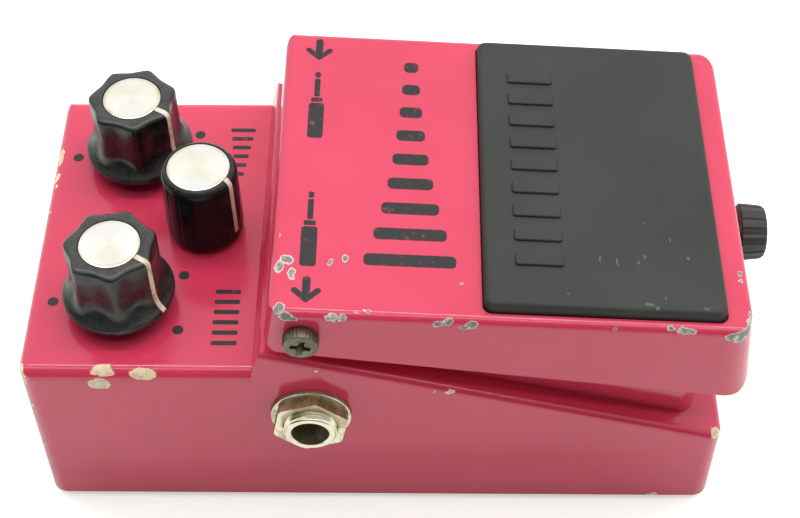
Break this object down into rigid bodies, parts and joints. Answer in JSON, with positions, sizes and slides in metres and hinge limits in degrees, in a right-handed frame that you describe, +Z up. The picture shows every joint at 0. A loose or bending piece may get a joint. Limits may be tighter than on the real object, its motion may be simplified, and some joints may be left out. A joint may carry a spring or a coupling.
{
  "type": "delay pedal",
  "caption": "Compact stomp-box delay pedal with a hinged sprung treadle over a battery bay, rotary controls, side jacks, a captive thumbscrew and circuit boards inside",
  "frame": {"origin": "middle of the base, on the floor under the rubber mat", "axes": "X is the width toward the input jack, Y runs to the rear wall, Z is up"},
  "size_m": [0.0726, 0.1288, 0.0571],
  "materials": {
    "case_paint": "satin",
    "plated_steel": "satin",
    "spring_steel": "gloss",
    "nickel": "gloss",
    "base_rubber": "matt",
    "pad_rubber": "matt",
    "nylon": "matt",
    "thumbscrew_plastic": "satin",
    "switch_plastic": "matt",
    "board_laminate": "satin",
    "battery_shell": "satin",
    "knob_black": "gloss",
    "cap_aluminium": "spun",
    "pointer_ivory": "satin",
    "indicator_red": "gloss",
    "capacitor_blue": "satin"
  },
  "bodies": {
    "case": {"case_housing": "case_paint", "bottom_plate": "plated_steel", "base_rubber": "base_rubber", "bottom_screws": "plated_steel", "hinge_screws": "plated_steel", "guide_bush": "nylon", "return_spring": "spring_steel", "switch_body": "switch_plastic", "switch_board": "board_laminate", "switch_screws": "plated_steel", "battery": "battery_shell", "pot_nuts": "nickel", "pot_washers": "nickel", "led_lens": "indicator_red", "led_holder": "knob_black", "power_inlet": "switch_plastic", "power_inlet_pin": "nickel", "main_board": "board_laminate", "board_spacers": "nylon", "board_chips": "switch_plastic", "board_capacitors": "capacitor_blue", "left_pot_body": "plated_steel", "middle_pot_body": "plated_steel", "right_pot_body": "plated_steel", "output_jack_bush": "nickel", "output_jack_body": "switch_plastic", "output_jack_nut": "nickel", "output_jack_washer": "nickel", "input_jack_bush": "nickel", "input_jack_body": "switch_plastic", "input_jack_nut": "nickel", "input_jack_washer": "nickel"},
    "treadle_hinge": {"hinge_bushes": "nylon", "spring_cup": "plated_steel"},
    "treadle": {"treadle_shell": "case_paint", "treadle_pad": "pad_rubber", "switch_pusher": "base_rubber"},
    "foot_plunger": {"switch_plunger": "nylon"},
    "thumbscrew_carrier": {"thumbscrew_ring": "nylon"},
    "thumbscrew": {"thumbscrew_head": "thumbscrew_plastic", "thumbscrew_shank": "plated_steel"},
    "left_control": {"left_knob": "knob_black", "left_knob_cap": "cap_aluminium", "left_knob_pointer": "pointer_ivory", "left_pot_shaft": "cap_aluminium"},
    "middle_control": {"middle_knob": "knob_black", "middle_knob_cap": "cap_aluminium", "middle_knob_pointer": "pointer_ivory", "middle_pot_shaft": "cap_aluminium"},
    "right_control": {"right_knob": "knob_black", "right_knob_cap": "cap_aluminium", "right_knob_pointer": "pointer_ivory", "right_pot_shaft": "cap_aluminium"}
  },
  "joints": [
    {"name": "treadle_press", "type": "hinge", "parent": "case", "child": "treadle_hinge", "pos_m": [0, 0.01205, 0.05085], "axis": [1, 0, 0], "range_deg": [0, 3.5], "stiffness_Nm_per_rad": 6, "springref_deg": -5.73, "deforming": ["return_spring"]},
    {"name": "treadle_open", "type": "hinge", "parent": "treadle_hinge", "child": "treadle", "pos_m": [0, 0.01205, 0.05085], "axis": [-1, 0, 0], "range_deg": [0, 60]},
    {"name": "plunger_travel", "type": "slide", "parent": "case", "child": "foot_plunger", "axis": [0, 0, -1], "range_m": [0, 0.0016]},
    {"name": "thumbscrew_travel", "type": "slide", "parent": "treadle", "child": "thumbscrew_carrier", "axis": [0, 1, 0], "range_m": [0, 0.0014]},
    {"name": "thumbscrew_turn", "type": "hinge", "parent": "thumbscrew_carrier", "child": "thumbscrew", "pos_m": [0, -0.0595, 0.0392], "axis": [0, 1, 0], "range_deg": [0, 720]},
    {"name": "left_control_turn", "type": "hinge", "parent": "case", "child": "left_control", "pos_m": [-0.01685, 0.04425, 0.0396], "axis": [0, 0, -1], "range_deg": [0, 300]},
    {"name": "middle_control_turn", "type": "hinge", "parent": "case", "child": "middle_control", "pos_m": [0, 0.03095, 0.0396], "axis": [0, 0, -1], "range_deg": [0, 300]},
    {"name": "right_control_turn", "type": "hinge", "parent": "case", "child": "right_control", "pos_m": [0.01685, 0.04425, 0.0396], "axis": [0, 0, -1], "range_deg": [0, 300]}
  ],
  "couplings": [
    {"joint": "plunger_travel", "follows": "treadle_press", "m_per_rad": 0.02505},
    {"joint": "thumbscrew_turn", "follows": "thumbscrew_travel", "rad_per_m": 8975.9}
  ]
}
